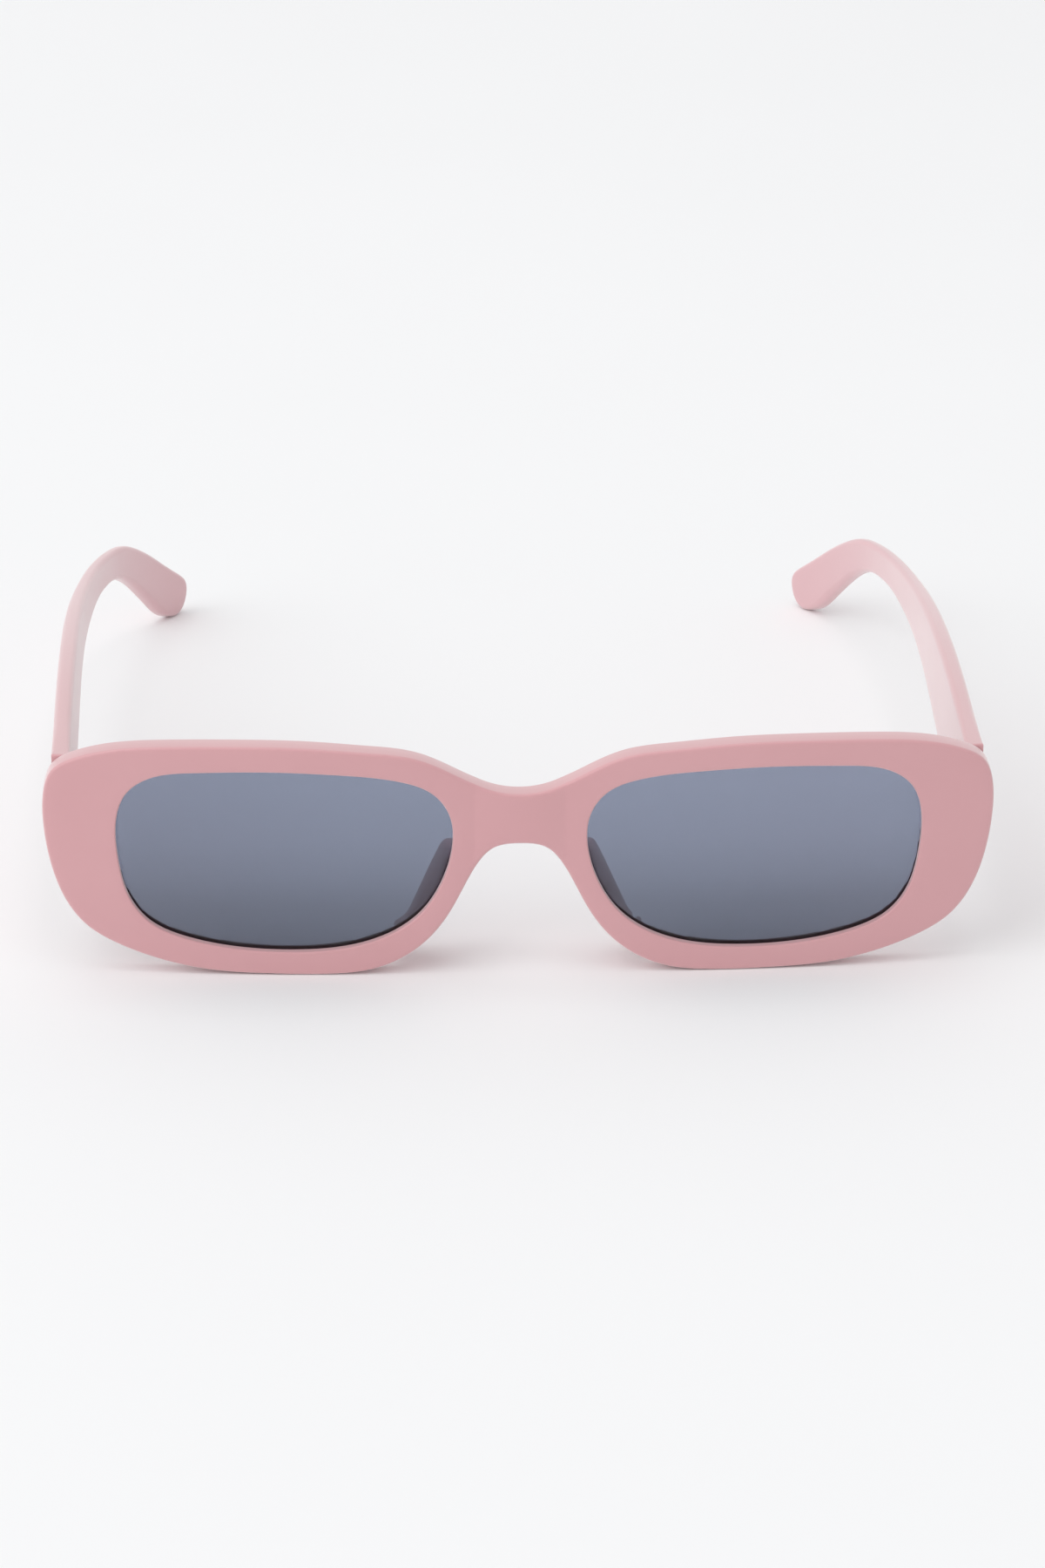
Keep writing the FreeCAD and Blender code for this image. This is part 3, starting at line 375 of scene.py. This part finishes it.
half = half_outline()
outline = np.vstack([half, (half[1:-1] * [-1, 1])[::-1]])
outer_loop = spaced(outline, 0.55, True, bend=2.0)
open_r = Cubic(OPENING, closed=True).dense()
open_loop = ccw(spaced(open_r, 0.5, True, bend=2.0))


def to_front(p, w):
    return np.stack([p[:, 0], w + YS, p[:, 1]], 1)


def slot_loop(cx, cz, w, t, r):
    out = []
    for (x, z), a0 in (((w - r, -t + r), -90), ((w - r, t - r), 0), ((-w + r, t - r), 90),
                       ((-w + r, -t + r), 180)):
        for k in range(9):
            a = math.radians(a0 + 90 * k / 8)
            out.append((cx + x + r * math.cos(a), cz + z + r * math.sin(a)))
    out.append(out[0])
    return spaced(np.array(out), 0.5, True, bend=0.5)


beds = [(slot_loop(sg * 65.2, 24.6, 2.05, 6.25, 1.2), lambda p: np.full(len(p), 5.15)) for sg in (1, -1)]
crease_cols = [(-7.9, -5.9, 0.16), (5.9, 7.9, 0.16)]
front = plate("front_frame_shell", outer_loop, [open_loop, open_loop * [-1, 1]],
              lambda p: face_y(p[:, 0], 0.0), lambda p: face_y(p[:, 0], T), to_front,
              (0.5, 0.3), (0.5, 0.3), grid=1.3,
              wall=[(0.0, SETBACK - SLACK), (GROOVE, SETBACK - SLACK),
                    (GROOVE, SETBACK + LENS_T + SLACK), (0.0, SETBACK + LENS_T + SLACK)],
              pockets=beds, cols=crease_cols)
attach(front, "front")
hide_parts("front_frame")

# ------------------------------------------------------------------ lenses
edge = open_loop - normals(open_loop) * ENGAGE
lens_loop = spaced(edge, 0.5, True, bend=2.0)
lenses = []
for side, sg in (("right", 1), ("left", -1)):
    lens = plate("lens_%s_shaped" % side, lens_loop * [sg, 1], [],
                 lambda p: rim_y(p[:, 0], SETBACK), lambda p: rim_y(p[:, 0], SETBACK + LENS_T),
                 to_front, 0.06, 0.06, grid=1.2, steps=2)
    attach(lens, "front")
    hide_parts("lens_" + side)
    lenses.append(lens)

# ------------------------------------------------------------------ temples
plan = Cubic(TEMPLE_PLAN)
_s = np.linspace(0, plan.t[-1], 4000)
_o = plan.at(_s)
_d = np.gradient(_o, axis=0)
_d /= np.linalg.norm(_d, axis=1)[:, None]
_len = np.r_[0, np.cumsum(np.linalg.norm(np.diff(_o, axis=0), axis=1))]
_f = np.clip((_len - 50.0) / 80.0, 0, 1)
_off = 2.8 + (2.2 - 2.8) * _f * _f * (3 - 2 * _f)
_i = np.stack([_o[:, 0] - _off * _d[:, 1], _o[:, 1] + _off * _d[:, 0]], 1)


def x_out(y):
    return np.interp(y, _o[:, 1], _o[:, 0])


def x_in(y):
    return np.interp(y, _i[:, 1], _i[:, 0])


whole = Cubic(TEMPLE_TOP + TEMPLE_TIP + TEMPLE_BOTTOM).dense(0.03)
Y0 = 7.17
cr = 0.35
body = whole[whole[:, 0] > Y0 + cr]
zt, zb = body[0, 1], body[-1, 1]
corner_low = [(Y0 + cr - cr * math.sin(a), zb + cr - cr * math.cos(a)) for a in np.linspace(0.05, math.pi / 2, 14)]
corner_top = [(Y0 + cr - cr * math.cos(a), zt - cr + cr * math.sin(a)) for a in np.linspace(0, math.pi / 2 - 0.05, 14)]
front_line = [(Y0, z) for z in np.arange(zb + cr + 0.1, zt - cr - 0.05, 0.1)]
temple_loop = ccw(spaced(np.vstack([body, corner_low, front_line, corner_top]), 0.55, True, bend=2.5))
tl_r = np.interp(temple_loop[:, 0], [Y0, Y0 + 0.3, Y0 + 2.0, Y0 + 14.0], [0.12, 0.22, 0.5, 0.95])


def temple_to3d(sg):
    def f(p, w):
        t = x_out(p[:, 0]) - x_in(p[:, 0])
        shear = 0.42 * (w / t) * np.clip((15.0 - p[:, 0]) / 7.5, 0, 1)
        return np.stack([sg * (x_out(p[:, 0]) - w), p[:, 0] - shear + YS, p[:, 1]], 1)
    return f


temples = []
for side, sg in (("right", 1), ("left", -1)):
    bed = slot_loop(15.3, 24.6, 5.75, 2.55, 0.85)
    tm = plate("temple_%s_shell" % side, temple_loop, [],
               lambda p: np.zeros(len(p)), lambda p: x_out(p[:, 0]) - x_in(p[:, 0]),
               temple_to3d(sg), tl_r, tl_r, grid=1.6, steps=7,
               pockets=[(bed, lambda p: x_out(p[:, 0]) - 68.75)])
    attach(tm, "temple_%s_body" % side)
    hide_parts("temple_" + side)
    temples.append(tm)

# ------------------------------------------------------------------ nose pads
D0, D1, D2 = T - 1.2, 9.5 * 0.68, 9.5
A, B, C = (np.array(p) for p in (PAD_ROOT, PAD_MIDDLE, PAD_REAR))


def pad_section(d):
    la = (d - D1) * (d - D2) / ((D0 - D1) * (D0 - D2))
    lb = (d - D0) * (d - D2) / ((D1 - D0) * (D1 - D2))
    lc = (d - D0) * (d - D1) / ((D2 - D0) * (D2 - D1))
    c = Cubic(la * A + lb * B + lc * C, closed=True)
    return c.at(np.linspace(0, c.t[-1], 97)[:-1])


def room(loop, want):
    """How far each point can move inward: at most a third of the width there."""
    n = normals(loop)
    out = np.full(len(loop), 9.0)
    for i, (p, d) in enumerate(zip(loop, n)):
        v = loop - p
        along = v @ d
        off = np.abs(v @ np.array([-d[1], d[0]]))
        hit = (along > 0.25) & (off < 0.6)
        if hit.any():
            out[i] = along[hit].min()
    r = np.minimum(want, out * 0.33)
    for _ in range(30):
        r = np.minimum(r, 0.25 * np.roll(r, 1) + 0.5 * r + 0.25 * np.roll(r, -1))
    for _ in range(4):
        r = 0.25 * np.roll(r, 1) + 0.5 * r + 0.25 * np.roll(r, -1)
    return r


pads = []
for side, sg in (("right", 1), ("left", -1)):
    v, fs = [], []
    rr = 0.8
    plan_d = [3.3] + list(np.linspace(3.9, D2 - rr, 12))
    rings = []
    for d in plan_d:
        q = ccw(pad_section(d))
        y = np.full(len(q), d)
        if d == plan_d[0]:
            y = face_y(q[:, 0], T) - 0.12
        rings.append((q, y))
    for k in range(1, 6):
        f = k / 5 * math.pi / 2
        d = D2 - rr + rr * math.sin(f)
        q = ccw(pad_section(d))
        q = q + normals(q) * (room(q, rr) * (1 - math.cos(f)))[:, None]
        rings.append((q, np.full(len(q), d)))
    pts2 = []
    idx = []
    for q, y in rings:
        b = len(v)
        v += [(sg * a[0], yy + YS, a[1]) for a, yy in zip(q, y)]
        pts2 += list(q)
        idx.append(np.arange(b, b + len(q)))
    for a, b in zip(idx, idx[1:]):
        n = len(a)
        fs += [(a[i], a[(i + 1) % n], b[(i + 1) % n], b[i]) for i in range(n)]
    pts2 = np.array(pts2)
    for ring_i, depth in ((idx[0], None), (idx[-1], D2)):
        new, tris = fill(pts2, ring_i, [], 0.45, 0.2)
        base = len(v)
        for p in new:
            yy = depth if depth is not None else float(face_y(p[0], T)) - 0.12
            v.append((sg * p[0], yy + YS, p[1]))
        pts2 = np.vstack([pts2, new]) if len(new) else pts2
        fs += [tuple(i if i >= 0 else base - i - 1 for i in t) for t in tris]
    pad = make("nose_pad_%s_shaped" % side, np.array(v), fs)
    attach(pad, "front")
    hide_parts("nose_pad_" + side)
    pads.append(pad)


# ------------------------------------------------------------------ materials
def nodes_of(name):
    m = bpy.data.materials.new(name)
    m.use_nodes = True
    t = m.node_tree
    return m, t, t.nodes["Principled BSDF"]


def add(t, kind, **kw):
    n = t.nodes.new(kind)
    for k, val in kw.items():
        setattr(n, k, val)
    return n


def noise(t, coord, scale, detail=4.0, rough=0.55):
    n = add(t, "ShaderNodeTexNoise")
    n.inputs["Scale"].default_value = scale
    n.inputs["Detail"].default_value = detail
    n.inputs["Roughness"].default_value = rough
    t.links.new(coord, n.inputs["Vector"])
    return n.outputs["Fac"]


def mapped(t, value, a, b, c, d):
    n = add(t, "ShaderNodeMapRange")
    n.inputs["From Min"].default_value = a
    n.inputs["From Max"].default_value = b
    n.inputs["To Min"].default_value = c
    n.inputs["To Max"].default_value = d
    t.links.new(value, n.inputs["Value"])
    return n.outputs["Result"]


def ramp(t, value, stops):
    n = add(t, "ShaderNodeValToRGB")
    e = n.color_ramp.elements
    while len(e) < len(stops):
        e.new(0.5)
    for i, (p, c) in enumerate(stops):
        e[i].position = p
        e[i].color = c
    t.links.new(value, n.inputs["Fac"])
    return n.outputs["Color"]


def plastic(name, base, deep, rough, rear_painted_sheen=None):
    """Satin moulded and tumbled plastic: faint clouding, fine tumbling haze,
    soft handling marks. With a rear colour given, the colour lightens toward the rear (+Y): painted sheen standing in
    for the pale grazing haze on the temple hooks."""
    m, t, b = nodes_of(name)
    co = add(t, "ShaderNodeTexCoord").outputs["Object"]
    cloud = noise(t, co, 55.0, 3.0, 0.5)
    col = ramp(t, cloud, [(0.30, (*deep, 1)), (0.72, (*base, 1))])
    # painted sheen: the colour is mixed toward a paler pink from the front to the back of the temples
    if rear_painted_sheen:
        sy = add(t, "ShaderNodeSeparateXYZ")
        t.links.new(co, sy.inputs[0])
        mixer = add(t, "ShaderNodeMixRGB")
        t.links.new(mapped(t, sy.outputs["Y"], -0.02, 0.062, 0.0, 1.0), mixer.inputs[0])
        t.links.new(col, mixer.inputs[1])
        mixer.inputs[2].default_value = (*rear_painted_sheen, 1)
        col = mixer.outputs[0]
    t.links.new(col, b.inputs["Base Color"])
    haze = noise(t, co, 420.0, 5.0, 0.6)
    smear = noise(t, co, 90.0, 4.0, 0.65)
    mix = add(t, "ShaderNodeMath", operation="MULTIPLY_ADD")
    t.links.new(haze, mix.inputs[0])
    mix.inputs[1].default_value = 0.5
    t.links.new(smear, mix.inputs[2])
    t.links.new(mapped(t, mix.outputs[0], 0.35, 1.1, rough - 0.01, rough + 0.05), b.inputs["Roughness"])
    grain = noise(t, co, 800.0, 2.0, 0.5)
    wave = noise(t, co, 160.0, 2.0, 0.5)
    b1 = add(t, "ShaderNodeBump")
    b1.inputs["Strength"].default_value = 0.04
    b1.inputs["Distance"].default_value = 0.0001
    t.links.new(grain, b1.inputs["Height"])
    b2 = add(t, "ShaderNodeBump")
    b2.inputs["Strength"].default_value = 0.02
    b2.inputs["Distance"].default_value = 0.0004
    t.links.new(wave, b2.inputs["Height"])
    t.links.new(b1.outputs["Normal"], b2.inputs["Normal"])
    t.links.new(b2.outputs["Normal"], b.inputs["Normal"])
    b.inputs["IOR"].default_value = 1.49
    b.inputs["Sheen Weight"].default_value = 0.76
    b.inputs["Sheen Roughness"].default_value = 0.55
    b.inputs["Sheen Tint"].default_value = (1.0, 0.97, 0.96, 1)
    return m


pink = plastic("satin_pink_plastic", (0.660, 0.342, 0.363), (0.643, 0.328, 0.349), 0.28)
# Temple pink fades to a paler pink toward the hooks: painted sheen for the grazing haze there.
temple_pink_painted_sheen = plastic("satin_pink_temple_painted_sheen", (0.660, 0.350, 0.371), (0.643, 0.336, 0.357), 0.28,
                      (0.690, 0.405, 0.430))
pad_pink = plastic("pad_pink_plastic", (0.60, 0.310, 0.330), (0.57, 0.288, 0.308), 0.28)

# Dark pink for the lens groove and the lip behind the lens: painted shade standing in for the shadow inside the
# groove.
groove_painted_shade = plastic("groove_painted_shade_plastic", (0.26, 0.125, 0.150), (0.20, 0.095, 0.115), 0.48)
groove_painted_shade.node_tree.nodes["Principled BSDF"].inputs["Sheen Weight"].default_value = 0.0


def lens_material():
    m, t, b = nodes_of("smoke_lens_painted_shade")
    co = add(t, "ShaderNodeTexCoord").outputs["Object"]
    sz = add(t, "ShaderNodeSeparateXYZ")
    t.links.new(co, sz.inputs[0])
    # The smoke-grey base colour is the lens's own tint; its scale along height, 0.79 at the bottom to 1.25 at the top,
    # is painted shade of the floor's shadow behind the rims seen through the lens.
    painted_shade_scale = [(0.10, 0.79), (0.26, 0.85), (0.40, 1.01), (0.58, 1.15), (0.85, 1.25)]
    depth = mapped(t, sz.outputs["Z"], 0.002, 0.036, 0.0, 1.0)
    stops = [(p, (0.202 * k, 0.231 * k, 0.311 * k, 1)) for p, k in painted_shade_scale]
    t.links.new(ramp(t, depth, stops), b.inputs["Base Color"])
    b.inputs["Transmission Weight"].default_value = 1.0
    b.inputs["IOR"].default_value = 1.5
    film = noise(t, co, 130.0, 4.0, 0.6)
    t.links.new(mapped(t, film, 0.35, 0.75, 0.0, 0.035), b.inputs["Roughness"])
    ripple = noise(t, co, 45.0, 1.0, 0.4)
    bm_ = add(t, "ShaderNodeBump")
    bm_.inputs["Strength"].default_value = 0.02
    bm_.inputs["Distance"].default_value = 0.0003
    t.links.new(ripple, bm_.inputs["Height"])
    t.links.new(bm_.outputs["Normal"], b.inputs["Normal"])
    return m


def metal(name, col, rough, streak_axis):
    m, t, b = nodes_of(name)
    tc = add(t, "ShaderNodeTexCoord").outputs["Object"]
    mp = add(t, "ShaderNodeMapping")
    mp.inputs["Scale"].default_value = streak_axis
    t.links.new(tc, mp.inputs["Vector"])
    fine = noise(t, mp.outputs["Vector"], 900.0, 5.0, 0.7)
    broad = noise(t, tc, 300.0, 3.0, 0.5)
    t.links.new(ramp(t, broad, [(0.3, (col[0] * 0.86, col[1] * 0.85, col[2] * 0.83, 1)), (0.7, (*col, 1))]),
                b.inputs["Base Color"])
    b.inputs["Metallic"].default_value = 1.0
    t.links.new(mapped(t, fine, 0.3, 0.75, rough - 0.07, rough + 0.12), b.inputs["Roughness"])
    bp = add(t, "ShaderNodeBump")
    bp.inputs["Strength"].default_value = 0.18
    bp.inputs["Distance"].default_value = 0.00006
    t.links.new(fine, bp.inputs["Height"])
    t.links.new(bp.outputs["Normal"], b.inputs["Normal"])
    return m


hinge_metal = metal("nickel_silver", (0.66, 0.64, 0.60), 0.30, (1.0, 1.0, 0.25))
screw_steel = metal("screw_steel", (0.60, 0.60, 0.61), 0.26, (1.0, 0.3, 1.0))
core_metal = metal("core_strip", (0.60, 0.60, 0.61), 0.33, (1.0, 0.15, 1.0))

nylon, nt, nb = nodes_of("nylon_washer")
nco = add(nt, "ShaderNodeTexCoord").outputs["Object"]
nt.links.new(ramp(nt, noise(nt, nco, 500.0, 3.0), [(0.3, (0.66, 0.64, 0.58, 1)), (0.7, (0.76, 0.74, 0.69, 1))]),
             nb.inputs["Base Color"])
nt.links.new(mapped(nt, noise(nt, nco, 1600.0, 3.0), 0.3, 0.7, 0.42, 0.56), nb.inputs["Roughness"])

lens_mat = lens_material()
front.data.materials.append(pink)
for o in temples:
    o.data.materials.append(temple_pink_painted_sheen)
front.data.materials.append(groove_painted_shade)
for o in pads:
    o.data.materials.append(pad_pink)
for o in lenses:
    o.data.materials.append(lens_mat)


def paint(node, mat):
    o = NODES[node]
    if not o.material_slots:
        o.data.materials.append(mat)
    for s in o.material_slots:
        s.material = mat


for side in ("left", "right"):
    paint("temple_core_" + side, core_metal)
    paint("hinge_front_leaf_" + side, hinge_metal)
    paint("hinge_temple_leaf_" + side, hinge_metal)
    paint("hinge_screw_" + side, screw_steel)
    paint("hinge_front_screws_" + side, screw_steel)
    paint("hinge_temple_screws_" + side, screw_steel)
    paint("hinge_washers_" + side, nylon)
    for n in ("hinge_front_leaf_", "hinge_temple_leaf_", "hinge_screw_", "hinge_front_screws_",
              "hinge_temple_screws_"):
        o = NODES[n + side]
        bv = o.modifiers.new("broken_edges", "BEVEL")
        bv.width = 0.00006
        bv.segments = 2
        bv.limit_method = "ANGLE"
        bv.angle_limit = math.radians(40)

# ------------------------------------------------------------------ floor
fm, ft, fb = nodes_of("pale_floor")
fco = add(ft, "ShaderNodeTexCoord").outputs["Object"]
ft.links.new(ramp(ft, noise(ft, fco, 6.0, 2.0), [(0.3, (0.905, 0.905, 0.91, 1)), (0.7, (0.915, 0.915, 0.92, 1))]),
             fb.inputs["Base Color"])
fb.inputs["Roughness"].default_value = 0.75
fb.inputs["Specular IOR Level"].default_value = 0.2
fme = bpy.data.meshes.new("floor")
S = 6.0
fme.from_pydata([(-S, -S, 0), (S, -S, 0), (S, S, 0), (-S, S, 0)], [], [(0, 1, 2, 3)])
floor = bpy.data.objects.new("floor", fme)
bpy.context.scene.collection.objects.link(floor)
fme.materials.append(fm)
floor.location.z = -0.00002

# ------------------------------------------------------------------ light
world = bpy.data.worlds.new("studio")
bpy.context.scene.world = world
world.use_nodes = True
wt = world.node_tree
bg = wt.nodes["Background"]
wco = wt.nodes.new("ShaderNodeTexCoord")
sep = wt.nodes.new("ShaderNodeSeparateXYZ")
wt.links.new(wco.outputs["Generated"], sep.inputs[0])
wr = wt.nodes.new("ShaderNodeValToRGB")
wr.color_ramp.elements[0].position = 0.0
wr.color_ramp.elements[0].color = (0.92, 0.924, 0.93, 1)
wr.color_ramp.elements[1].position = 1.0
wr.color_ramp.elements[1].color = (0.54, 0.545, 0.55, 1)
wt.links.new(sep.outputs["Z"], wr.inputs["Fac"])
side = wt.nodes.new("ShaderNodeMapRange")
side.inputs["From Min"].default_value = -1.0
side.inputs["From Max"].default_value = 1.0
side.inputs["To Min"].default_value = 1.105
side.inputs["To Max"].default_value = 0.88
wt.links.new(sep.outputs["X"], side.inputs["Value"])
wt.links.new(side.outputs["Result"], bg.inputs["Strength"])
wt.links.new(wr.outputs["Color"], bg.inputs["Color"])


def area_light(name, loc, target, w, h, power, col=(1, 1, 1)):
    d = bpy.data.lights.new(name, "AREA")
    d.shape = "RECTANGLE"
    d.size, d.size_y = w, h
    d.energy = power
    d.color = col
    o = bpy.data.objects.new(name, d)
    bpy.context.scene.collection.objects.link(o)
    o.location = loc
    o.rotation_euler = (Vector(target) - Vector(loc)).to_track_quat("-Z", "Y").to_euler()
    return o


area_light("key_left", (-2.30, -1.25, 2.35), (0, 0, 0), 3.0, 3.0, 39.0)
area_light("top", (-0.25, 0.05, 2.0), (0, 0, 0), 1.5, 1.5, 9.5)

# ------------------------------------------------------------------ camera
AZ, EL, ROLL, DIST, FPX = math.radians(-2.1982), math.radians(24.1277), math.radians(0.2377), 0.8, 6077.0
tgt = Vector((0.310e-3, YS * 1e-3, 31.716e-3))
back_v = Vector((math.sin(AZ) * math.cos(EL), -math.cos(AZ) * math.cos(EL), math.sin(EL)))
cam_at = tgt + back_v * DIST
fwd = -back_v
right = fwd.cross(Vector((0, 0, 1))).normalized()
up = right.cross(fwd)
r2 = right * math.cos(ROLL) + up * math.sin(ROLL)
u2 = -right * math.sin(ROLL) + up * math.cos(ROLL)
cam_d = bpy.data.cameras.new("camera")
cam_d.sensor_fit = "VERTICAL"
cam_d.sensor_height = 36.0
cam_d.lens = FPX / 1800.0 * 36.0
cam_d.clip_start = 0.01
cam = bpy.data.objects.new("camera", cam_d)
bpy.context.scene.collection.objects.link(cam)
m = Matrix((r2, u2, back_v)).transposed().to_4x4()
m.translation = cam_at
cam.matrix_world = m
bpy.context.scene.camera = cam
bpy.context.scene.view_settings.view_transform = "Standard"
bpy.context.scene.view_settings.look = "None"
